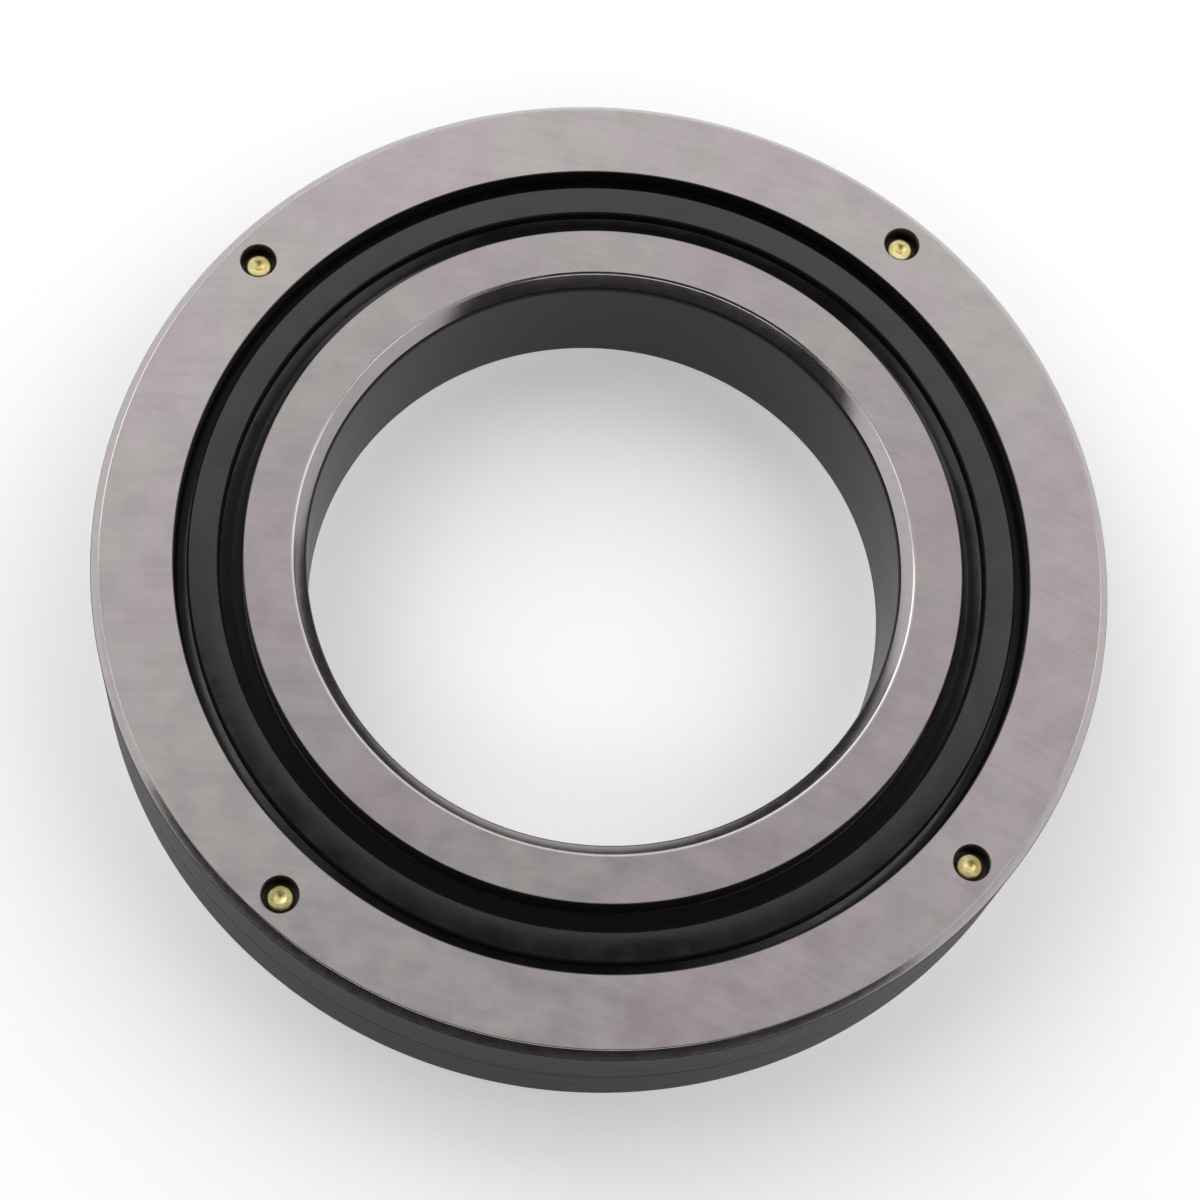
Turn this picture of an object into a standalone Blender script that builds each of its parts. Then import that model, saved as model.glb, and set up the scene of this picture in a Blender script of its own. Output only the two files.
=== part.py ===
"""Sealed crossed roller bearing, 35 mm bore, 60 mm outside diameter, 10 mm wide.

The outer ring is split at mid-width into two halves that four rivets hold together. The inner ring is
one piece. A square groove turned on its corner lies between the rings: cylindrical rollers run in it,
with their axes leaning out from the bearing's axis and in towards it in turn, and a moulded spacer
keeps each two apart. A rubber seal closes each side. The bearing's axis is Z, its centre the origin.
"""

import math

import bmesh
import bpy
from mathutils import Euler, Matrix, Vector

TURN = 2 * math.pi

# Rings: the radial widths add up from the bore to the outside, and heights count from mid-width
BORE = 0.035
INNER_FACE = 0.0037
INNER_STEP = 0.00115
LAND_GAP = 0.0013
OUTER_STEP = 0.00155
OUTER_FACE = 0.0048
WIDTH = 0.01
RECESS_DEPTH = 0.002
BORE_CORNER = 0.0008
OUTER_CORNER = 0.0005
EDGE_BREAK = 0.0001
SPLIT_BREAK = 0.0001

# Rollers and the raceways that they run in
ROLLER_DIAMETER = 0.004
ROLLER_SHORTER = 0.0002
ROLLER_CORNER = 0.0002
ROLLER_COUNT = 24
ROLLER_LEAN = math.radians(45)
RACE_CLEARANCE = 0.00008
RELIEF_WIDTH = 0.0006
RELIEF_DEPTH = 0.0003

# Spacers
SPACER_SLACK = 0.00015
SPACER_WRAP = 0.00045
SPACER_CLEARANCE = 0.0001

# Seals: a rim in a groove of the outer ring, a raised band, and a shoulder and lip to the inner ring
SEAL_CLEARANCE = 0.0001
SEAL_SUNK = 0.0005
SEAL_RIM_HEIGHT = 0.0005
SEAL_RIM_FALL = 0.0003
SEAL_GROOVE_DEPTH = 0.0003
BAND_FROM_OUTER = 0.00075
BAND_FROM_INNER = 0.0014
BAND_EDGE = 0.00012
SHOULDER_WIDTH = 0.0007
SHOULDER_FALL = 0.00028
LIP_EDGE = 0.0002

# Rivets, sunk in pockets on both faces of the outer ring
RIVET_COUNT = 4
RIVET_PHASE = math.radians(45)
RIVET_INSET = 0.00215
RIVET_SUNK = 0.0007
RIVET_HEAD = 0.0016
RIVET_HEAD_HEIGHT = 0.0005
RIVET_CROWN = 0.00015
RIVET_SHANK = 0.001
RIVET_CLEARANCE = 0.00005
POCKET_CLEARANCE = 0.00025

# Grease holes through the outer ring, at the split
GREASE_HOLE = 0.0012
GREASE_HOLE_COUNT = 2

# Sides of the round shapes, and the cutters' reach past what they cut
RING_STEPS = 60
ROLLER_STEPS = 12
SPACER_STEPS = 12
SADDLE_STEPS = 20
RIVET_STEPS = 12
HOLE_STEPS = 16
MERGE = 0.000001
SHARP_ANGLE = math.radians(35)
BEYOND = 0.001

# Radii and heights that follow from the sizes
BORE_R = BORE / 2
RECESS_INNER_R = BORE_R + INNER_FACE
INNER_LAND_R = RECESS_INNER_R + INNER_STEP
PITCH_R = INNER_LAND_R + LAND_GAP / 2
OUTER_LAND_R = INNER_LAND_R + LAND_GAP
RECESS_OUTER_R = OUTER_LAND_R + OUTER_STEP
OUTSIDE_R = RECESS_OUTER_R + OUTER_FACE
HALF_WIDTH = WIDTH / 2
RECESS_Z = HALF_WIDTH - RECESS_DEPTH
ROLLER_R = ROLLER_DIAMETER / 2
ROLLER_LENGTH = ROLLER_DIAMETER - ROLLER_SHORTER
ROLLER_STEP = TURN / ROLLER_COUNT
ROLLER_SPACING = 2 * PITCH_R * math.sin(ROLLER_STEP / 2)
RACE_REACH = (ROLLER_R + RACE_CLEARANCE) / math.cos(ROLLER_LEAN)
RELIEF_Z = RELIEF_WIDTH / 2
RIM_Z = RECESS_Z + SEAL_CLEARANCE + SEAL_RIM_HEIGHT
UNDER_HEAD_Z = HALF_WIDTH - RIVET_SUNK - RIVET_HEAD_HEIGHT
POCKET_Z = UNDER_HEAD_Z - RIVET_CLEARANCE


def clear_scene():
    for obj in list(bpy.data.objects):
        bpy.data.objects.remove(obj, do_unlink=True)


def new_collection(name):
    collection = bpy.data.collections.new(name)
    bpy.context.scene.collection.children.link(collection)
    return collection


def finish(name, colour, roughness, metallic):
    material = bpy.data.materials.new(name)
    material.use_nodes = True
    shader = material.node_tree.nodes["Principled BSDF"]
    shader.inputs["Base Color"].default_value = (*colour, 1.0)
    shader.inputs["Roughness"].default_value = roughness
    shader.inputs["Metallic"].default_value = metallic
    return material


def ground_steel():
    return finish("ground_bearing_steel", (0.46, 0.43, 0.42), roughness=0.35, metallic=1.0)


def polished_steel():
    return finish("polished_bearing_steel", (0.56, 0.56, 0.57), roughness=0.12, metallic=1.0)


def rivet_brass():
    return finish("brass", (0.72, 0.58, 0.27), roughness=0.3, metallic=1.0)


def nitrile_rubber():
    return finish("nitrile_rubber", (0.02, 0.02, 0.021), roughness=0.55, metallic=0.0)


def moulded_polyamide():
    return finish("moulded_polyamide", (0.75, 0.72, 0.62), roughness=0.5, metallic=0.0)


def profile_mesh(name, points, closed):
    """A chain of edges through (radius, height) points in the XZ plane."""
    mesh = bpy.data.meshes.new(name)
    form = bmesh.new()
    verts = [form.verts.new((r, 0.0, z)) for r, z in points]
    ends = verts[1:] + verts[:1] if closed else verts[1:]
    for start, end in zip(verts, ends):
        form.edges.new((start, end))
    form.to_mesh(mesh)
    form.free()
    return mesh


def turned(name, points, steps, closed=True):
    """A profile turned about Z. Its outer side runs down, so that the faces point out."""
    obj = bpy.data.objects.new(name, profile_mesh(name, points, closed))
    screw = obj.modifiers.new("turn", "SCREW")
    screw.angle = TURN
    screw.steps = steps
    screw.render_steps = steps
    screw.use_merge_vertices = True
    screw.merge_threshold = MERGE
    return obj


def cylinder(name, diameter, length, steps):
    """A cylinder along its own Z axis, centred on its origin."""
    mesh = bpy.data.meshes.new(name)
    form = bmesh.new()
    radius = diameter / 2
    bmesh.ops.create_cone(
        form, cap_ends=True, segments=steps, radius1=radius, radius2=radius, depth=length
    )
    form.to_mesh(mesh)
    form.free()
    return bpy.data.objects.new(name, mesh)


def cut(obj, cutter):
    boolean = obj.modifiers.new(cutter.name, "BOOLEAN")
    boolean.operation = "DIFFERENCE"
    boolean.object = cutter
    boolean.solver = "EXACT"


def settle(obj, material):
    """Applies the modifiers, shades the round faces smooth and gives the mesh its material."""
    bpy.context.view_layer.update()
    evaluated = obj.evaluated_get(bpy.context.evaluated_depsgraph_get())
    mesh = bpy.data.meshes.new_from_object(evaluated)
    obj.modifiers.clear()
    obj.data = mesh
    mesh.name = obj.name
    mesh.materials.clear()
    mesh.materials.append(material)
    mesh.shade_smooth()
    mesh.set_sharp_from_angle(angle=SHARP_ANGLE)


def add_copy(name, original, parts):
    """Another object of the same mesh."""
    copy = bpy.data.objects.new(name, original.data)
    parts.objects.link(copy)
    return copy


def add_cutter(cutter, cutters):
    cutters.objects.link(cutter)
    cutter.hide_render = True
    cutter.display_type = "WIRE"


def mirrored(points):
    """The points, then the same points below the XY plane in the other order."""
    return points + [(r, -z) for r, z in reversed(points)]


def outer_half_profile():
    """The upper half of the outer ring, from its face down to the split and up the raceway."""
    apex_r = PITCH_R + RACE_REACH
    relief_r = apex_r + RELIEF_DEPTH
    groove_r = RECESS_OUTER_R + SEAL_GROOVE_DEPTH
    groove_z = RIM_Z + SEAL_CLEARANCE
    return [
        (OUTSIDE_R - OUTER_CORNER, HALF_WIDTH),
        (OUTSIDE_R, HALF_WIDTH - OUTER_CORNER),
        (OUTSIDE_R, SPLIT_BREAK),
        (OUTSIDE_R - SPLIT_BREAK, 0.0),
        (relief_r, 0.0),
        (relief_r, RELIEF_Z),
        (apex_r - RELIEF_Z, RELIEF_Z),
        (OUTER_LAND_R, apex_r - OUTER_LAND_R),
        (OUTER_LAND_R, RECESS_Z),
        (groove_r, RECESS_Z),
        (groove_r, groove_z),
        (RECESS_OUTER_R, groove_z + SEAL_GROOVE_DEPTH),
        (RECESS_OUTER_R, HALF_WIDTH - EDGE_BREAK),
        (RECESS_OUTER_R + EDGE_BREAK, HALF_WIDTH),
    ]


def inner_ring_profile():
    """The inner ring, from the top of its bore over a rounded corner and the face to the raceway."""
    apex_r = PITCH_R - RACE_REACH
    cut_back = BORE_CORNER * (1 - math.sqrt(0.5))
    return mirrored([
        (BORE_R, HALF_WIDTH - BORE_CORNER),
        (BORE_R + cut_back, HALF_WIDTH - cut_back),
        (BORE_R + BORE_CORNER, HALF_WIDTH),
        (RECESS_INNER_R - EDGE_BREAK, HALF_WIDTH),
        (RECESS_INNER_R, HALF_WIDTH - EDGE_BREAK),
        (RECESS_INNER_R, RECESS_Z),
        (INNER_LAND_R, RECESS_Z),
        (INNER_LAND_R, INNER_LAND_R - apex_r),
        (apex_r + RELIEF_Z, RELIEF_Z),
        (apex_r - RELIEF_DEPTH, RELIEF_Z),
    ])


def seal_profile():
    """The upper seal, from its band out over the rim, in under it to the lip and up the shoulder."""
    band_inner_r = RECESS_INNER_R + BAND_FROM_INNER
    band_outer_r = RECESS_OUTER_R - BAND_FROM_OUTER
    band_z = HALF_WIDTH - SEAL_SUNK
    rim_r = RECESS_OUTER_R + SEAL_GROOVE_DEPTH - SEAL_CLEARANCE
    foot_z = RECESS_Z + SEAL_CLEARANCE
    band_foot_z = RIM_Z + SEAL_RIM_FALL
    lip_r = RECESS_INNER_R + SEAL_CLEARANCE
    return [
        (band_outer_r - BAND_EDGE, band_z),
        (band_outer_r, band_z - BAND_EDGE),
        (band_outer_r, band_foot_z),
        (rim_r, RIM_Z),
        (rim_r, foot_z),
        (lip_r, foot_z),
        (lip_r, foot_z + LIP_EDGE),
        (band_inner_r - SHOULDER_WIDTH, band_foot_z - SHOULDER_FALL),
        (band_inner_r, band_foot_z),
        (band_inner_r, band_z - BAND_EDGE),
        (band_inner_r + BAND_EDGE, band_z),
    ]


def rivet_profile():
    """A rivet with a low crowned head at each end."""
    head_r = RIVET_HEAD / 2
    head_z = UNDER_HEAD_Z + RIVET_HEAD_HEIGHT
    return mirrored([
        (0.0, head_z),
        (head_r - RIVET_CROWN, head_z),
        (head_r, head_z - RIVET_CROWN),
        (head_r, UNDER_HEAD_Z),
        (RIVET_SHANK / 2, UNDER_HEAD_Z),
    ])


def rivet_bore_profile():
    """The hole for a rivet: a pocket for each head and a narrower hole between them."""
    pocket_r = RIVET_HEAD / 2 + POCKET_CLEARANCE
    hole_r = RIVET_SHANK / 2 + RIVET_CLEARANCE
    top_z = HALF_WIDTH + BEYOND
    return mirrored([(0.0, top_z), (pocket_r, top_z), (pocket_r, POCKET_Z), (hole_r, POCKET_Z)])


def roller_profile():
    end_z = ROLLER_LENGTH / 2
    return mirrored([(0.0, end_z), (ROLLER_R - ROLLER_CORNER, end_z), (ROLLER_R, end_z - ROLLER_CORNER)])


def on_circle(radius, angle):
    return Vector((math.cos(angle), math.sin(angle), 0.0)) * radius


def rivet_spot(index):
    return on_circle(OUTSIDE_R - RIVET_INSET, RIVET_PHASE + index * TURN / RIVET_COUNT)


def roller_frame(index):
    """A roller's place. Its own Z axis leans out from the bearing's axis, or in on every second one."""
    lean = ROLLER_LEAN if index % 2 == 0 else -ROLLER_LEAN
    around = Matrix.Rotation(index * ROLLER_STEP, 4, "Z")
    return around @ Matrix.Translation((PITCH_R, 0.0, 0.0)) @ Matrix.Rotation(lean, 4, "Y")


def spacer_frame(index):
    """The place midway between two rollers, with its own Z axis along the way that they travel."""
    middle_r = PITCH_R * math.cos(ROLLER_STEP / 2)
    around = Matrix.Rotation((index + 0.5) * ROLLER_STEP, 4, "Z")
    return around @ Matrix.Translation((middle_r, 0.0, 0.0)) @ Matrix.Rotation(-TURN / 4, 4, "X")


def make_rivet_bores(cutters):
    bores = []
    for i in range(RIVET_COUNT):
        bore = turned(f"rivet_bore_{i + 1}", rivet_bore_profile(), HOLE_STEPS, closed=False)
        bore.location = rivet_spot(i)
        add_cutter(bore, cutters)
        bores.append(bore)
    return bores


def make_grease_holes(cutters):
    """Radial cylinders from inside the raceway to beyond the outside."""
    end_r = OUTSIDE_R + BEYOND
    holes = []
    for i in range(GREASE_HOLE_COUNT):
        angle = i * TURN / GREASE_HOLE_COUNT
        hole = cylinder(f"grease_hole_{i + 1}", GREASE_HOLE, end_r - PITCH_R, HOLE_STEPS)
        hole.rotation_euler = Euler((0.0, TURN / 4, angle))
        hole.location = on_circle((PITCH_R + end_r) / 2, angle)
        add_cutter(hole, cutters)
        holes.append(hole)
    return holes


def make_outer_ring(parts, cutters, material):
    """Two halves that meet at the split. The lower one is the same piece turned over about X."""
    holes = make_rivet_bores(cutters) + make_grease_holes(cutters)
    for name, turned_over in (("outer_ring_upper", False), ("outer_ring_lower", True)):
        half = turned(name, outer_half_profile(), RING_STEPS)
        parts.objects.link(half)
        half.rotation_euler.x = TURN / 2 if turned_over else 0.0
        for hole in holes:
            cut(half, hole)
        settle(half, material)


def make_inner_ring(parts, material):
    ring = turned("inner_ring", inner_ring_profile(), RING_STEPS)
    parts.objects.link(ring)
    settle(ring, material)


def make_seals(parts, material):
    upper = turned("seal_upper", seal_profile(), RING_STEPS)
    parts.objects.link(upper)
    settle(upper, material)
    lower = add_copy("seal_lower", upper, parts)
    lower.rotation_euler.x = TURN / 2


def make_rivets(parts, material):
    first = turned("rivet_1", rivet_profile(), RIVET_STEPS, closed=False)
    parts.objects.link(first)
    settle(first, material)
    first.location = rivet_spot(0)
    for i in range(1, RIVET_COUNT):
        rivet = add_copy(f"rivet_{i + 1}", first, parts)
        rivet.location = rivet_spot(i)


def make_rollers(parts, material, train):
    first = turned("roller_01", roller_profile(), ROLLER_STEPS, closed=False)
    parts.objects.link(first)
    settle(first, material)
    others = [add_copy(f"roller_{i + 1:02d}", first, parts) for i in range(1, ROLLER_COUNT)]
    for i, roller in enumerate([first] + others):
        roller.parent = train
        roller.matrix_local = roller_frame(i)


def make_saddle(cutters, name, roller_index):
    """A cutter in the place of a roller, larger all round by the spacer's clearance."""
    saddle = cylinder(name, ROLLER_DIAMETER + 2 * SPACER_CLEARANCE, 2 * ROLLER_LENGTH, SADDLE_STEPS)
    saddle.matrix_world = roller_frame(roller_index)
    add_cutter(saddle, cutters)
    return saddle


def make_spacer(parts, cutters, material, index):
    """A short round plug, hollowed at both ends to fit the rollers beside it."""
    name = f"spacer_{index + 1:02d}"
    diameter = ROLLER_DIAMETER - 2 * SPACER_SLACK
    length = ROLLER_SPACING - ROLLER_DIAMETER + 2 * SPACER_WRAP
    spacer = cylinder(name, diameter, length, SPACER_STEPS)
    parts.objects.link(spacer)
    spacer.matrix_world = spacer_frame(index)
    for roller_index in (index, index + 1):
        cut(spacer, make_saddle(cutters, f"saddle_{index + 1}_{roller_index + 1}", roller_index))
    settle(spacer, material)
    return spacer


def make_spacers(parts, cutters, material, train):
    """The rollers lean in turn, so the spacers have two hands, also in turn."""
    hands = [make_spacer(parts, cutters, material, i) for i in (0, 1)]
    others = [
        add_copy(f"spacer_{i + 1:02d}", hands[i % 2], parts) for i in range(2, ROLLER_COUNT)
    ]
    for i, spacer in enumerate(hands + others):
        spacer.parent = train
        spacer.matrix_local = spacer_frame(i)


def make_bearing():
    clear_scene()
    parts = new_collection("crossed_roller_bearing")
    cutters = new_collection("cutters")
    ring_steel = ground_steel()
    make_outer_ring(parts, cutters, ring_steel)
    make_inner_ring(parts, ring_steel)
    make_rivets(parts, rivet_brass())
    make_seals(parts, nitrile_rubber())

    train = bpy.data.objects.new("roller_train", None)
    parts.objects.link(train)
    make_rollers(parts, polished_steel(), train)
    make_spacers(parts, cutters, moulded_polyamide(), train)


make_bearing()
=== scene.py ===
"""A sealed crossed roller bearing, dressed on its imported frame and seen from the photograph's angle."""

import math

import bmesh
import bpy
from mathutils import Matrix, Vector


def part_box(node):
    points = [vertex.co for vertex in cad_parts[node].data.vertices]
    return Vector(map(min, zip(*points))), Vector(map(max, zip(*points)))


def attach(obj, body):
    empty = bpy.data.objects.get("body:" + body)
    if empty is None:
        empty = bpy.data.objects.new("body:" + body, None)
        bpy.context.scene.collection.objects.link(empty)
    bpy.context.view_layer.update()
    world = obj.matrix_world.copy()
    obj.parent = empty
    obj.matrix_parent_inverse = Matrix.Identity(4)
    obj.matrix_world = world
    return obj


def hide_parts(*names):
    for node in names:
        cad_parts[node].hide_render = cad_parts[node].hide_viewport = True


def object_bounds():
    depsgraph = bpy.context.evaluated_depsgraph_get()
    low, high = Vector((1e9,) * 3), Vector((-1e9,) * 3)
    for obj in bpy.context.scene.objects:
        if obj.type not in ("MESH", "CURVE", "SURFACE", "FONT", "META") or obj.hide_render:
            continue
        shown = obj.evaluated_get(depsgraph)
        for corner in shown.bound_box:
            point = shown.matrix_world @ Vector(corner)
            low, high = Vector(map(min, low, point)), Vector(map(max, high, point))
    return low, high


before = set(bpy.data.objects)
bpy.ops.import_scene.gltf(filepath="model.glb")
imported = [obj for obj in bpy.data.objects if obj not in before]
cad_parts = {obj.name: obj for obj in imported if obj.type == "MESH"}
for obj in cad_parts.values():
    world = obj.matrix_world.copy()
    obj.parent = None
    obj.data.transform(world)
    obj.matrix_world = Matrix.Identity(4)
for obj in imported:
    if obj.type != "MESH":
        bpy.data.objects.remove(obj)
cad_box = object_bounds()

# Inner ring: one piece of hardened bearing steel with a V raceway between two lands. Its flat faces,
# its bore and the raceway are ground, and its chamfered corners tumbled; the bore is painted dark. The
# seal recesses are only turned and keep the dark skin that hardening leaves; their dark grey is partly
# painted shade.
MM = 0.001
TURN = 2 * math.pi
HALF_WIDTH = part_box("inner_ring")[1].z
INNER_LAND_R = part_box("inner_ring")[1].x
BORE_R = 17.5 * MM
RECESS_INNER_R = 21.2 * MM
RECESS_Z = 3 * MM
PITCH_R = 23 * MM
RACE_REACH = 2.94 * MM  # from the rollers' circle to where the two faces of the V would meet
RELIEF_Z = 0.3 * MM
RELIEF_DEPTH = 0.3 * MM
BORE_CORNER = 0.8 * MM
BORE_BLEND = 0.12 * MM
BORE_LEAD = 0.2 * MM
EDGE_BREAK = 0.05 * MM
EDGE_ROUNDING = 0.02 * MM
RING_STEPS = 288
ARC_STEPS = 8
TINY = 0.001 * MM
SHARP_ANGLE = math.radians(30)


def linear(code):
    """An sRGB hex colour as linear red, green, blue and alpha."""
    shares = [int(code[i : i + 2], 16) / 255 for i in (1, 3, 5)]
    return (*[s / 12.92 if s <= 0.04045 else ((s + 0.055) / 1.055) ** 2.4 for s in shares], 1.0)


def add_node(tree, kind, inputs=(), **settings):
    """Adds a node with its settings. An input is a value, or the output that it is linked to.

    A colour Mix node has its two colours at inputs 6 and 7, and gives its colour at output 2.
    """
    node = tree.nodes.new(kind)
    for name, value in settings.items():
        setattr(node, name, value)
    for key, value in dict(inputs).items():
        if isinstance(value, bpy.types.NodeSocket):
            tree.links.new(value, node.inputs[key])
        else:
            node.inputs[key].default_value = value
    return node


def new_material(name, colour, metallic, roughness):
    """A new material, its node tree and its shader."""
    material = bpy.data.materials.new(name)
    material.use_nodes = True
    shader = material.node_tree.nodes["Principled BSDF"]
    shader.inputs["Base Color"].default_value = linear(colour)
    shader.inputs["Metallic"].default_value = metallic
    shader.inputs["Roughness"].default_value = roughness
    return material, material.node_tree, shader


def lathe(corners, steps):
    """Turns a closed outline about Z. Each corner is (radius, height, rounding)."""
    form = bmesh.new()
    verts = [form.verts.new((radius, 0.0, height)) for radius, height, _ in corners]
    form.faces.new(verts)
    for rounding in sorted({size for _, _, size in corners} - {0}):
        rounded = [v for v, (_, _, size) in zip(verts, corners) if size == rounding]
        bmesh.ops.bevel(
            form, geom=rounded, offset=rounding, offset_type="OFFSET", segments=ARC_STEPS,
            profile=0.5, affect="VERTICES", material=-1,
        )
    bmesh.ops.delete(form, geom=form.faces[:], context="FACES_ONLY")
    on_axis = [e for e in form.edges if max(v.co.x for v in e.verts) < TINY]
    bmesh.ops.delete(form, geom=on_axis, context="EDGES")
    bmesh.ops.spin(
        form, geom=form.verts[:] + form.edges[:], cent=(0, 0, 0), axis=(0, 0, 1),
        angle=TURN, steps=steps, use_merge=True,
    )
    bmesh.ops.remove_doubles(form, verts=form.verts[:], dist=TINY)
    bmesh.ops.recalc_face_normals(form, faces=form.faces[:])
    return form


def mirrored(corners):
    """The corners, then the same ones below the middle plane in the other order."""
    return corners + [(radius, -height, rounding) for radius, height, rounding in reversed(corners)]


def new_object(name, form, materials):
    mesh = bpy.data.meshes.new(name)
    form.to_mesh(mesh)
    form.free()
    for material in materials:
        mesh.materials.append(material)
    mesh.shade_smooth()
    mesh.set_sharp_from_angle(angle=SHARP_ANGLE)
    obj = bpy.data.objects.new(name, mesh)
    bpy.context.scene.collection.objects.link(obj)
    return obj


def even_normals(obj):
    """Lets the large faces set the shading, so that a small rounding stays at its own edge."""
    weighted = obj.modifiers.new("even_normals", "WEIGHTED_NORMAL")
    weighted.keep_sharp = True


def mount(obj, body, node):
    """The piece stands for a node of the frame, on that node's body."""
    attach(obj, body)
    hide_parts(node)


# Flat faces: ground on a turning table under a wide wheel, then tumbled, which leaves a soft satin with
# faint arcs about a far centre and a cloudy, slightly mauve grey. The real arcs are 0.05 mm apart, and
# are drawn coarser to show.
GRIND_CENTRE = (-29 * MM, -93 * MM)
GRIND_REACH = 97 * MM
ARC_SPACING = 0.45 * MM
ARC_LENGTH = 9 * MM
MOTTLE_SIZE = 2.2 * MM
TINT_SIZE = 9 * MM
GRIND_DEPTH = 0.01 * MM
ARC_WEIGHT = 0.45
GRAIN_LOW, GRAIN_HIGH = 0.54, 0.92
face_steels = []
for name, grey_pair, mauve_pair in (
    ("ground_inner_ring_steel", ("#A09B9A", "#AEA9A7"), ("#A19799", "#AFA5A7")),
    ("ground_outer_ring_steel", ("#A9A4A3", "#B7B2B0"), ("#AAA0A2", "#B8AEB0")),
):
    steel, tree, shader = new_material(name, grey_pair[0], 1.0, 0.48)
    place = add_node(tree, "ShaderNodeTexCoord").outputs["Object"]
    from_centre = add_node(
        tree, "ShaderNodeMapping",
        {"Vector": place, "Location": (-GRIND_CENTRE[0], -GRIND_CENTRE[1], 0), "Scale": (1, 1, 0)},
    ).outputs["Vector"]
    reach = add_node(tree, "ShaderNodeVectorMath", {0: from_centre}, operation="LENGTH").outputs["Value"]
    parts = add_node(tree, "ShaderNodeSeparateXYZ", {0: from_centre})
    bearing = add_node(
        tree, "ShaderNodeMath", {0: parts.outputs["Y"], 1: parts.outputs["X"]}, operation="ARCTAN2"
    ).outputs[0]
    across = add_node(tree, "ShaderNodeMath", {0: reach, 1: 1 / ARC_SPACING}, operation="MULTIPLY").outputs[0]
    along = add_node(
        tree, "ShaderNodeMath", {0: bearing, 1: GRIND_REACH / ARC_LENGTH}, operation="MULTIPLY"
    ).outputs[0]
    arc_place = add_node(tree, "ShaderNodeCombineXYZ", {"X": across, "Y": along}).outputs[0]
    arcs = add_node(
        tree, "ShaderNodeTexNoise", {"Vector": arc_place, "Scale": 1.0, "Detail": 4.0, "Roughness": 0.7},
        noise_dimensions="2D",
    ).outputs["Fac"]
    mottle = add_node(
        tree, "ShaderNodeTexNoise",
        {"Vector": place, "Scale": 1 / MOTTLE_SIZE, "Detail": 4.0, "Roughness": 0.6},
    ).outputs["Fac"]
    cloud = add_node(
        tree, "ShaderNodeTexNoise", {"Vector": place, "Scale": 1 / TINT_SIZE, "Detail": 2.0}
    ).outputs["Fac"]
    grain = add_node(
        tree, "ShaderNodeMath", {0: arcs, 1: ARC_WEIGHT, 2: mottle}, operation="MULTIPLY_ADD"
    ).outputs[0]
    tone = add_node(
        tree, "ShaderNodeMapRange", {"Value": grain, "From Min": GRAIN_LOW, "From Max": GRAIN_HIGH}
    ).outputs["Result"]
    tint = add_node(
        tree, "ShaderNodeMapRange", {"Value": cloud, "From Min": 0.4, "From Max": 0.6}
    ).outputs["Result"]
    grey = add_node(
        tree, "ShaderNodeMix", {0: tone, 6: linear(grey_pair[0]), 7: linear(grey_pair[1])}, data_type="RGBA"
    ).outputs[2]
    mauve = add_node(
        tree, "ShaderNodeMix", {0: tone, 6: linear(mauve_pair[0]), 7: linear(mauve_pair[1])}, data_type="RGBA"
    ).outputs[2]
    colour = add_node(tree, "ShaderNodeMix", {0: tint, 6: grey, 7: mauve}, data_type="RGBA")
    tree.links.new(colour.outputs[2], shader.inputs["Base Color"])
    satin = add_node(
        tree, "ShaderNodeMapRange",
        {"Value": grain, "From Min": GRAIN_LOW, "From Max": GRAIN_HIGH, "To Min": 0.44, "To Max": 0.52},
    ).outputs["Result"]
    tree.links.new(satin, shader.inputs["Roughness"])
    relief = add_node(tree, "ShaderNodeBump", {"Strength": 0.06, "Distance": GRIND_DEPTH, "Height": arcs})
    tree.links.new(relief.outputs["Normal"], shader.inputs["Normal"])
    face_steels.append(steel)

# Bore and outside: ground round the axis to a fit and oiled. Their steel is painted a much darker grey
# than the flat faces, as painted shade for the dark surroundings that these walls reflect. The marks run
# round the ring, 0.12 mm apart. The outside's glancing shine is painted duller still, as painted shade.
LAY_SPACING = 0.12 * MM
LAY_LENGTH = 9 * MM
wall_steels = []
for name, dark, light, glance in (
    ("ground_bore_steel_painted_dark", "#302D2D", "#3C3939", "#FFFFFF"),
    ("ground_outside_steel_painted_dark", "#302D2D", "#3B3838", "#D4D4D4"),
):
    steel, tree, shader = new_material(name, dark, 1.0, 0.4)
    # The outside's lower tint is painted shade on its glancing shine.
    shader.inputs["Specular Tint"].default_value = linear(glance)
    place = add_node(tree, "ShaderNodeTexCoord").outputs["Object"]
    lay_place = add_node(
        tree, "ShaderNodeMapping",
        {"Vector": place, "Scale": (1 / LAY_LENGTH, 1 / LAY_LENGTH, 1 / LAY_SPACING)},
    ).outputs["Vector"]
    lay = add_node(
        tree, "ShaderNodeTexNoise", {"Vector": lay_place, "Scale": 1.0, "Detail": 2.0, "Roughness": 0.6}
    ).outputs["Fac"]
    tone = add_node(
        tree, "ShaderNodeMapRange", {"Value": lay, "From Min": 0.3, "From Max": 0.7}
    ).outputs["Result"]
    # Both colours are painted dark: painted shade for the dark surroundings that the walls reflect.
    varied = add_node(tree, "ShaderNodeMix", {0: tone, 6: linear(dark), 7: linear(light)}, data_type="RGBA")
    tree.links.new(varied.outputs[2], shader.inputs["Base Color"])
    satin = add_node(
        tree, "ShaderNodeMapRange",
        {"Value": lay, "From Min": 0.3, "From Max": 0.7, "To Min": 0.35, "To Max": 0.46},
    ).outputs["Result"]
    tree.links.new(satin, shader.inputs["Roughness"])
    wall_steels.append(steel)

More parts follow.
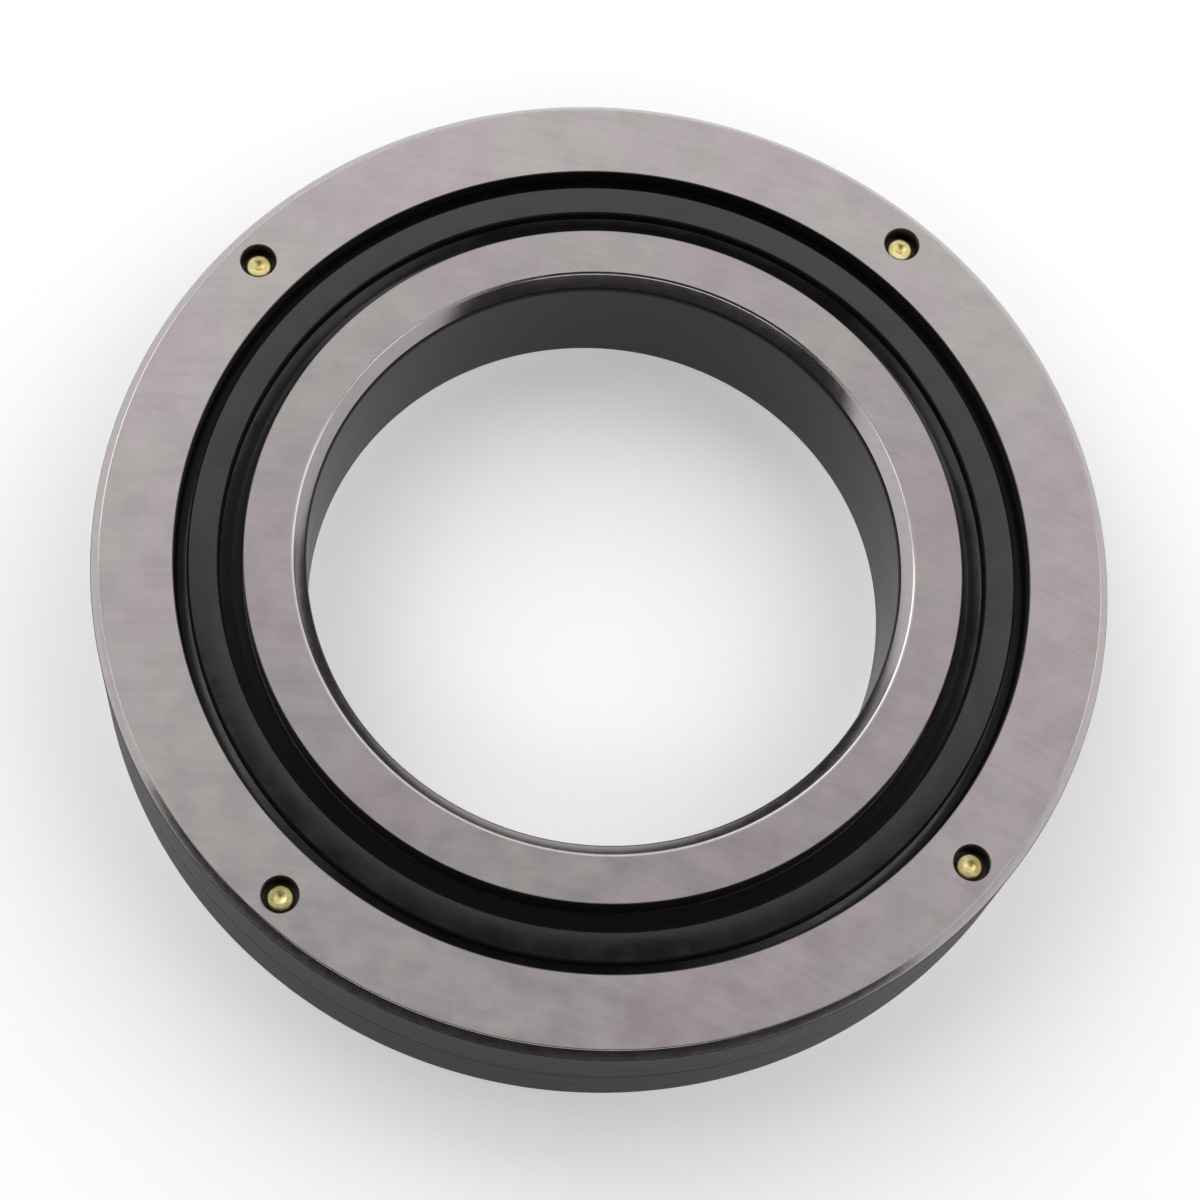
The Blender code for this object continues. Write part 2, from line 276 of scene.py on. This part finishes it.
# Corners: turned, then tumbled until they shine more than the faces that they lead in to.
TUMBLE_MARK = 0.6 * MM
corner_steel, tree, shader = new_material("tumbled_corner_steel", "#B0AAAA", 1.0, 0.2)
place = add_node(tree, "ShaderNodeTexCoord").outputs["Object"]
marks = add_node(
    tree, "ShaderNodeTexNoise", {"Vector": place, "Scale": 1 / TUMBLE_MARK, "Detail": 3.0}
).outputs["Fac"]
colour = add_node(
    tree, "ShaderNodeMix", {0: marks, 6: linear("#A8A2A2"), 7: linear("#B8B2B1")}, data_type="RGBA"
)
tree.links.new(colour.outputs[2], shader.inputs["Base Color"])
satin = add_node(
    tree, "ShaderNodeMapRange", {"Value": marks, "To Min": 0.14, "To Max": 0.22}
).outputs["Result"]
tree.links.new(satin, shader.inputs["Roughness"])

# Recesses and drilled pockets: turned before hardening, so they keep its thin blue-black scale; the dark grey
# is also painted shade for these hollows.
SCALE_PATCH = 1.5 * MM
scale_and_shade_steel, tree, shader = new_material("hardening_scale_and_painted_shade_steel", "#5A5758", 1.0, 0.42)
place = add_node(tree, "ShaderNodeTexCoord").outputs["Object"]
patches = add_node(
    tree, "ShaderNodeTexNoise", {"Vector": place, "Scale": 1 / SCALE_PATCH, "Detail": 3.0}
).outputs["Fac"]
colour = add_node(
    tree, "ShaderNodeMix", {0: patches, 6: linear("#504D50"), 7: linear("#68645F")}, data_type="RGBA"
)
tree.links.new(colour.outputs[2], shader.inputs["Base Color"])

# Raceways: ground and then honed bright, with the faintest marks along the rollers' path.
race_steel, tree, shader = new_material("honed_raceway_steel", "#C4C2C0", 1.0, 0.16)
place = add_node(tree, "ShaderNodeTexCoord").outputs["Object"]
hone_place = add_node(
    tree, "ShaderNodeMapping",
    {"Vector": place, "Scale": (1 / LAY_LENGTH, 1 / LAY_LENGTH, 1 / LAY_SPACING)},
).outputs["Vector"]
hone = add_node(
    tree, "ShaderNodeTexNoise", {"Vector": hone_place, "Scale": 1.0, "Detail": 1.0}
).outputs["Fac"]
colour = add_node(
    tree, "ShaderNodeMix", {0: hone, 6: linear("#BBB9B7"), 7: linear("#CDCBC9")}, data_type="RGBA"
)
tree.links.new(colour.outputs[2], shader.inputs["Base Color"])

RING_STEELS = [*face_steels, *wall_steels, corner_steel, scale_and_shade_steel, race_steel]
INNER_FACE, OUTER_FACE, BORE, OUTSIDE, CORNER, SCALE_AND_SHADE, RACE = range(7)
NEARLY_FLAT, STEEP = 0.999, 0.68
race_inner_r = PITCH_R - RACE_REACH
inner_form = lathe(
    mirrored([
        (BORE_R, HALF_WIDTH - BORE_CORNER, BORE_LEAD),
        (BORE_R + BORE_CORNER, HALF_WIDTH, BORE_BLEND),
        (RECESS_INNER_R - EDGE_BREAK, HALF_WIDTH, EDGE_ROUNDING),
        (RECESS_INNER_R, HALF_WIDTH - EDGE_BREAK, EDGE_ROUNDING),
        (RECESS_INNER_R, RECESS_Z, 0),
        (INNER_LAND_R, RECESS_Z, EDGE_ROUNDING),
        (INNER_LAND_R, INNER_LAND_R - race_inner_r, EDGE_ROUNDING),
        (race_inner_r + RELIEF_Z, RELIEF_Z, 0),
        (race_inner_r - RELIEF_DEPTH, RELIEF_Z, 0),
    ]),
    RING_STEPS,
)
for face in inner_form.faces:
    middle = face.calc_center_median()
    radius, height = math.hypot(middle.x, middle.y), abs(middle.z)
    if height > RECESS_Z + TINY and radius < RECESS_INNER_R - TINY and abs(face.normal.z) > NEARLY_FLAT:
        face.material_index = INNER_FACE
    elif radius < BORE_R + BORE_CORNER + BORE_BLEND:
        face.material_index = CORNER if abs(face.normal.z) > STEEP else BORE
    elif height > INNER_LAND_R - race_inner_r:
        face.material_index = SCALE_AND_SHADE
    else:
        face.material_index = RACE
inner_ring = new_object("inner_ring_finished", inner_form, RING_STEELS)
even_normals(inner_ring)
mount(inner_ring, "inner_ring", "inner_ring")

# Rollers: cylinders of through-hardened steel, a little shorter than they are wide. Every second one
# leans the other way, so that the ring of them carries load from all sides.
ROLLER_COUNT = 24
ROLLER_R = 2 * MM
ROLLER_LENGTH = 3.8 * MM
ROLLER_CORNER = 0.2 * MM
ROLLER_STEPS = 48
ROLLER_LEAN = math.radians(45)
FILM_SIZE = 1 * MM
roller_steel, tree, shader = new_material("polished_roller_steel", "#CFCFD0", 1.0, 0.1)
place = add_node(tree, "ShaderNodeTexCoord").outputs["Object"]
varied = add_node(
    tree, "ShaderNodeTexNoise", {"Vector": place, "Scale": 1 / FILM_SIZE, "Detail": 2.0}
).outputs["Fac"]
satin = add_node(
    tree, "ShaderNodeMapRange", {"Value": varied, "To Min": 0.06, "To Max": 0.18}
).outputs["Result"]
tree.links.new(satin, shader.inputs["Roughness"])


def roller_place(index):
    """A roller's place. Its own Z axis leans out from the bearing's axis, or in on every second one."""
    lean = ROLLER_LEAN if index % 2 == 0 else -ROLLER_LEAN
    around = Matrix.Rotation(index * TURN / ROLLER_COUNT, 4, "Z")
    return around @ Matrix.Translation((PITCH_R, 0, 0)) @ Matrix.Rotation(lean, 4, "Y")


for i in range(ROLLER_COUNT):
    end = ROLLER_LENGTH / 2
    form = lathe(mirrored([(0, end, 0), (ROLLER_R, end, ROLLER_CORNER)]), ROLLER_STEPS)
    form.transform(roller_place(i))
    roller = new_object(f"roller_{i + 1:02d}_finished", form, [roller_steel])
    even_normals(roller)
    mount(roller, f"roller_{i + 1:02d}_body", f"roller_{i + 1:02d}")

# Spacers: short plugs moulded in natural polyamide, hollowed at both ends to fit the rollers beside
# them. The rollers lean in turn, so the spacers have two hands, also in turn.
SPACER_R = 1.85 * MM
SPACER_LENGTH = 2.9 * MM
SADDLE_R = 2.1 * MM
SADDLE_REACH = 8 * MM
SADDLE_STEPS = 64
SPACER_STEPS = 48
CLOUD_SIZE = 1 * MM
polyamide, tree, shader = new_material("moulded_polyamide", "#DCD3BC", 0.0, 0.45)
shader.inputs["IOR"].default_value = 1.53
place = add_node(tree, "ShaderNodeTexCoord").outputs["Object"]
cloud = add_node(
    tree, "ShaderNodeTexNoise", {"Vector": place, "Scale": 1 / CLOUD_SIZE, "Detail": 2.0}
).outputs["Fac"]
colour = add_node(
    tree, "ShaderNodeMix", {0: cloud, 6: linear("#D2C8AE"), 7: linear("#E4DCC8")}, data_type="RGBA"
)
tree.links.new(colour.outputs[2], shader.inputs["Base Color"])


def cut_away(obj, cutters):
    """Cuts each cutter from the object and removes the cutters."""
    for cutter in cutters:
        boolean = obj.modifiers.new(cutter.name, "BOOLEAN")
        boolean.operation = "DIFFERENCE"
        boolean.object = cutter
        boolean.solver = "EXACT"
    bpy.context.view_layer.update()
    mesh = bpy.data.meshes.new_from_object(obj.evaluated_get(bpy.context.evaluated_depsgraph_get()))
    mesh.name = obj.name
    obj.modifiers.clear()
    obj.data = mesh
    for cutter in cutters:
        bpy.data.objects.remove(cutter)
    mesh.set_sharp_from_angle(angle=SHARP_ANGLE)


for i in range(ROLLER_COUNT):
    form = bmesh.new()
    bmesh.ops.create_cone(
        form, cap_ends=True, segments=SPACER_STEPS, radius1=SPACER_R, radius2=SPACER_R, depth=SPACER_LENGTH
    )
    around = Matrix.Rotation((i + 0.5) * TURN / ROLLER_COUNT, 4, "Z")
    middle_r = PITCH_R * math.cos(TURN / ROLLER_COUNT / 2)
    form.transform(around @ Matrix.Translation((middle_r, 0, 0)) @ Matrix.Rotation(TURN / 4, 4, "X"))
    spacer = new_object(f"spacer_{i + 1:02d}_finished", form, [polyamide])
    saddles = []
    for index in (i, i + 1):
        cutter = bmesh.new()
        bmesh.ops.create_cone(
            cutter, cap_ends=True, segments=SADDLE_STEPS,
            radius1=SADDLE_R, radius2=SADDLE_R, depth=SADDLE_REACH,
        )
        cutter.transform(roller_place(index))
        saddles.append(new_object(f"saddle_{i + 1}_{index + 1}", cutter, [polyamide]))
    cut_away(spacer, saddles)
    mount(spacer, "spacer_train", f"spacer_{i + 1:02d}")

# Outer ring: two halves of the same steel that meet at mid-width, with four through holes for the
# rivets, each widened to a pocket at both faces, and two grease holes drilled at the split.
OUTSIDE_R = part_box("outer_ring_upper")[1].x
OUTER_LAND_R = 23.65 * MM
RECESS_OUTER_R = 25.2 * MM
OUTER_CORNER = 0.5 * MM
OUTER_BLEND = 0.05 * MM
SPLIT_BREAK = 0.06 * MM
SEAL_GROOVE_R = 25.5 * MM
SEAL_GROOVE_Z = 3.7 * MM
RIVET_COUNT = 4
RIVET_PHASE = math.radians(45)
RIVET_CIRCLE_R = 27.85 * MM
POCKET_R = 1.05 * MM
POCKET_Z = 3.75 * MM
POCKET_BREAK = 0.06 * MM
RIVET_HOLE_R = 0.55 * MM
GREASE_HOLE_R = 0.6 * MM
GREASE_HOLE_COUNT = 2
HOLE_STEPS = 40
BEYOND = 1 * MM  # how far a cutter stands out of the steel


def rivet_spot(index):
    angle = RIVET_PHASE + index * TURN / RIVET_COUNT
    return Vector((RIVET_CIRCLE_R * math.cos(angle), RIVET_CIRCLE_R * math.sin(angle), 0))


def hole_cutters():
    """The rivets' stepped holes and the radial grease holes."""
    cutters = []
    for i in range(RIVET_COUNT):
        form = lathe(
            mirrored([
                (0, HALF_WIDTH + BEYOND, 0),
                (POCKET_R + POCKET_BREAK + BEYOND, HALF_WIDTH + BEYOND, 0),
                (POCKET_R, HALF_WIDTH - POCKET_BREAK, 0),
                (POCKET_R, POCKET_Z, 0),
                (RIVET_HOLE_R, POCKET_Z, 0),
            ]),
            HOLE_STEPS,
        )
        form.transform(Matrix.Translation(rivet_spot(i)))
        cutters.append(form)
    for i in range(GREASE_HOLE_COUNT):
        angle = i * TURN / GREASE_HOLE_COUNT
        length = OUTSIDE_R + BEYOND - PITCH_R
        form = bmesh.new()
        bmesh.ops.create_cone(
            form, cap_ends=True, segments=HOLE_STEPS,
            radius1=GREASE_HOLE_R, radius2=GREASE_HOLE_R, depth=length,
        )
        middle = Matrix.Translation((PITCH_R + length / 2, 0, 0))
        form.transform(Matrix.Rotation(angle, 4, "Z") @ middle @ Matrix.Rotation(TURN / 4, 4, "Y"))
        cutters.append(form)
    # The holes' walls take the scale steel, whose dark grey is partly painted shade.
    for form in cutters:
        for face in form.faces:
            face.material_index = SCALE_AND_SHADE
    return [new_object(f"cutter_{i}", form, RING_STEELS) for i, form in enumerate(cutters)]


race_outer_r = PITCH_R + RACE_REACH
for name, turned_over in (("outer_ring_upper", False), ("outer_ring_lower", True)):
    form = lathe(
        [
            (OUTSIDE_R - OUTER_CORNER, HALF_WIDTH, OUTER_BLEND),
            (OUTSIDE_R, HALF_WIDTH - OUTER_CORNER, OUTER_BLEND),
            (OUTSIDE_R, SPLIT_BREAK, EDGE_ROUNDING),
            (OUTSIDE_R - SPLIT_BREAK, 0, 0),
            (race_outer_r + RELIEF_DEPTH, 0, 0),
            (race_outer_r + RELIEF_DEPTH, RELIEF_Z, 0),
            (race_outer_r - RELIEF_Z, RELIEF_Z, 0),
            (OUTER_LAND_R, race_outer_r - OUTER_LAND_R, EDGE_ROUNDING),
            (OUTER_LAND_R, RECESS_Z, EDGE_ROUNDING),
            (SEAL_GROOVE_R, RECESS_Z, 0),
            (SEAL_GROOVE_R, SEAL_GROOVE_Z, 0),
            (RECESS_OUTER_R, SEAL_GROOVE_Z + SEAL_GROOVE_R - RECESS_OUTER_R, EDGE_ROUNDING),
            (RECESS_OUTER_R, HALF_WIDTH - EDGE_BREAK, EDGE_ROUNDING),
            (RECESS_OUTER_R + EDGE_BREAK, HALF_WIDTH, EDGE_ROUNDING),
        ],
        RING_STEPS,
    )
    for face in form.faces:
        middle = face.calc_center_median()
        radius, height = math.hypot(middle.x, middle.y), middle.z
        if radius > RECESS_OUTER_R and height > HALF_WIDTH - OUTER_CORNER and face.normal.z > NEARLY_FLAT:
            face.material_index = OUTER_FACE
        elif radius > OUTSIDE_R - OUTER_CORNER - OUTER_BLEND:
            face.material_index = CORNER if face.normal.z > STEEP else OUTSIDE
        elif height < race_outer_r - OUTER_LAND_R and radius < race_outer_r + RELIEF_DEPTH:
            face.material_index = RACE
        else:
            face.material_index = SCALE_AND_SHADE
    if turned_over:
        form.transform(Matrix.Rotation(TURN / 2, 4, "X"))
    half = new_object(f"{name}_finished", form, RING_STEELS)
    cut_away(half, hole_cutters())
    even_normals(half)
    mount(half, "outer_ring", name)

# Rivets: brass pins whose ends are peened in their pockets into low heads with a punched dimple.
HEAD_R = 0.8 * MM
HEAD_TOP_Z = 4.3 * MM
HEAD_FOOT_Z = 3.8 * MM
HEAD_CROWN = 0.1 * MM
DIMPLE_R = 0.34 * MM
DIMPLE_DEPTH = 0.16 * MM
DIMPLE_ROUNDING = 0.06 * MM
HEAD_ROUNDING = 0.08 * MM
SHANK_R = 0.5 * MM
TARNISH_SIZE = 0.5 * MM
HAMMER_DEPTH = 0.02 * MM
RIVET_STEPS = 48
brass, tree, shader = new_material("peened_brass", "#D2C384", 1.0, 0.36)
place = add_node(tree, "ShaderNodeTexCoord").outputs["Object"]
tarnish = add_node(
    tree, "ShaderNodeTexNoise", {"Vector": place, "Scale": 1 / TARNISH_SIZE, "Detail": 3.0}
).outputs["Fac"]
tone = add_node(
    tree, "ShaderNodeMapRange", {"Value": tarnish, "From Min": 0.35, "From Max": 0.65}
).outputs["Result"]
colour = add_node(
    tree, "ShaderNodeMix", {0: tone, 6: linear("#C3B26E"), 7: linear("#E8DCA4")}, data_type="RGBA"
)
tree.links.new(colour.outputs[2], shader.inputs["Base Color"])
hammered = add_node(tree, "ShaderNodeBump", {"Strength": 0.5, "Distance": HAMMER_DEPTH, "Height": tarnish})
tree.links.new(hammered.outputs["Normal"], shader.inputs["Normal"])
for i in range(RIVET_COUNT):
    form = lathe(
        mirrored([
            (0, HEAD_TOP_Z - DIMPLE_DEPTH, 0),
            (DIMPLE_R, HEAD_TOP_Z, DIMPLE_ROUNDING),
            (HEAD_R - HEAD_CROWN, HEAD_TOP_Z, HEAD_ROUNDING),
            (HEAD_R, HEAD_TOP_Z - HEAD_CROWN, HEAD_ROUNDING),
            (HEAD_R, HEAD_FOOT_Z, 0),
            (SHANK_R, HEAD_FOOT_Z, 0),
        ]),
        RIVET_STEPS,
    )
    form.transform(Matrix.Translation(rivet_spot(i)))
    rivet = new_object(f"rivet_{i + 1}_finished", form, [brass])
    even_normals(rivet)
    mount(rivet, "outer_ring", f"rivet_{i + 1}")

# Seals: rings moulded in black nitrile rubber. The rim snaps into a groove of the outer ring, the raised
# band stands a little below the faces, and the lip reaches in to the inner ring.
BAND_Z = HALF_WIDTH - 0.5 * MM
BAND_OUTER_R = 24.45 * MM
BAND_INNER_R = 22.6 * MM
BAND_CROWN = 0.02 * MM
BAND_STEPS = 6
BAND_EDGE = 0.12 * MM
BAND_FOOT_Z = 3.76 * MM
RIM_R = 25.4 * MM
RIM_Z = 3.6 * MM
RIM_ROUNDING = 0.08 * MM
SHOULDER_R = 21.9 * MM
SHOULDER_Z = 3.4 * MM
SHOULDER_ROUNDING = 0.1 * MM
LIP_R = 21.3 * MM
LIP_Z = 3.24 * MM
FOOT_Z = 3.1 * MM
SEAL_ROUNDING = 0.05 * MM
MOULD_GRAIN = 0.2 * MM
MOULD_DEPTH = 0.02 * MM
BLOOM_SIZE = 2.2 * MM
rubber, tree, shader = new_material("moulded_nitrile_rubber", "#1B1C1D", 0.0, 0.32)
shader.inputs["IOR"].default_value = 1.52
shader.inputs["Specular IOR Level"].default_value = 0.55
place = add_node(tree, "ShaderNodeTexCoord").outputs["Object"]
eroded = add_node(
    tree, "ShaderNodeTexNoise", {"Vector": place, "Scale": 1 / MOULD_GRAIN, "Detail": 3.0}
).outputs["Fac"]
bloom = add_node(
    tree, "ShaderNodeTexNoise", {"Vector": place, "Scale": 1 / BLOOM_SIZE, "Detail": 3.0, "Roughness": 0.6}
).outputs["Fac"]
colour = add_node(
    tree, "ShaderNodeMix", {0: bloom, 6: linear("#1C1D1E"), 7: linear("#0F1010")}, data_type="RGBA"
)
tree.links.new(colour.outputs[2], shader.inputs["Base Color"])
satin = add_node(
    tree, "ShaderNodeMapRange",
    {"Value": bloom, "From Min": 0.35, "From Max": 0.65, "To Min": 0.15, "To Max": 0.27},
).outputs["Result"]
tree.links.new(satin, shader.inputs["Roughness"])
grain = add_node(tree, "ShaderNodeBump", {"Strength": 0.18, "Distance": MOULD_DEPTH, "Height": eroded})
tree.links.new(grain.outputs["Normal"], shader.inputs["Normal"])
band = []
for i in range(BAND_STEPS + 1):
    share = i / BAND_STEPS
    radius = BAND_OUTER_R - BAND_EDGE - (BAND_OUTER_R - BAND_INNER_R - 2 * BAND_EDGE) * share
    band.append((radius, BAND_Z - BAND_CROWN * (2 * share - 1) ** 2, 0))
for name, turned_over in (("seal_upper", False), ("seal_lower", True)):
    form = lathe(
        [
            (BAND_INNER_R, BAND_Z - BAND_CROWN - BAND_EDGE, SEAL_ROUNDING),
            *reversed(band),
            (BAND_OUTER_R, BAND_Z - BAND_CROWN - BAND_EDGE, SEAL_ROUNDING),
            (BAND_OUTER_R, BAND_FOOT_Z, SEAL_ROUNDING),
            (RIM_R, RIM_Z, RIM_ROUNDING),
            (RIM_R, FOOT_Z, RIM_ROUNDING),
            (LIP_R, FOOT_Z, SEAL_ROUNDING),
            (LIP_R, LIP_Z, SEAL_ROUNDING),
            (SHOULDER_R, SHOULDER_Z, SHOULDER_ROUNDING),
            (BAND_INNER_R, BAND_FOOT_Z, SEAL_ROUNDING),
        ],
        RING_STEPS,
    )
    if turned_over:
        form.transform(Matrix.Rotation(TURN / 2, 4, "X"))
    seal = new_object(f"{name}_finished", form, [rubber])
    even_normals(seal)
    mount(seal, "outer_ring", name)

# The stage: a plain white floor that keeps a soft shadow. The camera, and gloss that mirrors the
# floor, see it lifted to white.
FLOOR_SIZE = 0.95
FLOOR_COLOUR = "#EDEDED"
FLOOR_LIFT = 0.3
form = bmesh.new()
bmesh.ops.create_grid(form, x_segments=1, y_segments=1, size=FLOOR_SIZE)
form.transform(Matrix.Translation((0, 0, cad_box[0].z)))
floor_paper = bpy.data.materials.new("white_paper_floor")
floor_paper.use_nodes = True
tree = floor_paper.node_tree
tree.nodes.clear()
paper = add_node(tree, "ShaderNodeBsdfDiffuse", {"Color": linear(FLOOR_COLOUR)}).outputs[0]
rays = add_node(tree, "ShaderNodeLightPath").outputs
seen = add_node(
    tree, "ShaderNodeMath", {0: rays["Is Camera Ray"], 1: rays["Is Glossy Ray"]}, operation="MAXIMUM"
).outputs[0]
seen = add_node(
    tree, "ShaderNodeMath", {0: seen, 1: rays["Is Transmission Ray"]}, operation="MAXIMUM"
).outputs[0]
lift = add_node(tree, "ShaderNodeMath", {0: seen, 1: FLOOR_LIFT}, operation="MULTIPLY").outputs[0]
glow = add_node(tree, "ShaderNodeEmission", {"Strength": lift}).outputs[0]
both = add_node(tree, "ShaderNodeAddShader", {0: paper, 1: glow}).outputs[0]
add_node(tree, "ShaderNodeOutputMaterial", {"Surface": both})
floor = new_object("floor", form, [floor_paper])

# Light: a wide soft box in three parts over the far half, a small panel high up at each side, a dimmer
# panel low down at the far side and at both sides, and a strip halfway up at the near side. The rest of
# the room is dark, but white up to a little above the horizon, which gives low views a white ground.
AZIMUTH = math.radians(-16.14)
ROOM_LEVEL = 0.02
HORIZON_TOP, HORIZON_FADE = math.radians(2), math.radians(3.5)
LAMPS = {
    "soft_box": ((0, 0.64, 0.6), (0, 0.64, 0), (0.6, 0.92), 0.9),
    "soft_box_left": ((-0.65, 0.64, 0.6), (-0.65, 0.64, 0), (0.7, 0.92), 1.55),
    "soft_box_right": ((0.65, 0.64, 0.6), (0.65, 0.64, 0), (0.7, 0.92), 0.95),
    "left_wing": ((-0.4, 0.045, 0.75), (-0.4, 0.045, 0), (0.4, 0.2), 1.4),
    "right_wing": ((0.4, 0.045, 0.75), (0.4, 0.045, 0), (0.4, 0.2), 1.2),
    "far_panel": ((0, 1.5, 0.6), (0, 0, 0), (2.2, 1.0), 0.5),
    "left_panel": ((-0.85, 0.05, 0.5), (0, 0, 0), (1.2, 1.0), 0.75),
    "right_panel": ((0.85, 0.05, 0.5), (0, 0, 0), (1.2, 1.0), 0.6),
    "near_panel": ((0, -0.86, 0.9), (0, 0, 0), (1.4, 0.34), 1.3),
}
LAMP_WATTS = 4.0  # for each square metre of a lamp at level 1
world = bpy.data.worlds.new("room")
world.use_nodes = True
tree = world.node_tree
background = tree.nodes["Background"]
background.inputs["Color"].default_value = (1, 1, 1, 1)
way = add_node(tree, "ShaderNodeTexCoord").outputs["Generated"]
rise = add_node(tree, "ShaderNodeSeparateXYZ", {0: way}).outputs["Z"]
room = add_node(
    tree, "ShaderNodeMapRange",
    {
        "Value": rise, "From Min": math.sin(HORIZON_TOP), "From Max": math.sin(HORIZON_FADE),
        "To Min": 1.0, "To Max": ROOM_LEVEL,
    },
).outputs["Result"]
tree.links.new(room, background.inputs["Strength"])
bpy.context.scene.world = world
facing = Matrix.Rotation(AZIMUTH, 4, "Z")
for name, (spot, target, (width, depth), level) in LAMPS.items():
    lamp = bpy.data.lights.new(name, "AREA")
    lamp.shape = "RECTANGLE"
    lamp.size, lamp.size_y = width, depth
    lamp.energy = level * width * depth * LAMP_WATTS
    lamp_object = bpy.data.objects.new(name, lamp)
    bpy.context.scene.collection.objects.link(lamp_object)
    aim = (Vector(target) - Vector(spot)).to_track_quat("-Z", "Y").to_matrix().to_4x4()
    lamp_object.matrix_world = facing @ Matrix.Translation(spot) @ aim

# Camera: close above the bearing, turned a little about its own line of sight, as the photograph shows.
ELEVATION = math.radians(69.14)
ROLL = math.radians(13.03)
DISTANCE = 179.7 * MM
AIM = facing @ Vector((0.28 * MM, -2.92 * MM, HALF_WIDTH))
FOCAL_PIXELS, PHOTO_PIXELS = 3078, 1200
camera_data = bpy.data.cameras.new("camera")
camera_data.lens = camera_data.sensor_width * FOCAL_PIXELS / PHOTO_PIXELS
camera_data.clip_start = 10 * MM
camera = bpy.data.objects.new("camera", camera_data)
bpy.context.scene.collection.objects.link(camera)
bpy.context.scene.camera = camera
tilt = Matrix.Rotation(math.pi / 2 - ELEVATION, 4, "X")
back = Matrix.Translation((0, 0, DISTANCE))
roll = Matrix.Rotation(ROLL, 4, "Z")
camera.matrix_world = Matrix.Translation(AIM) @ facing @ tilt @ back @ roll

bpy.context.scene.view_settings.view_transform = "Standard"
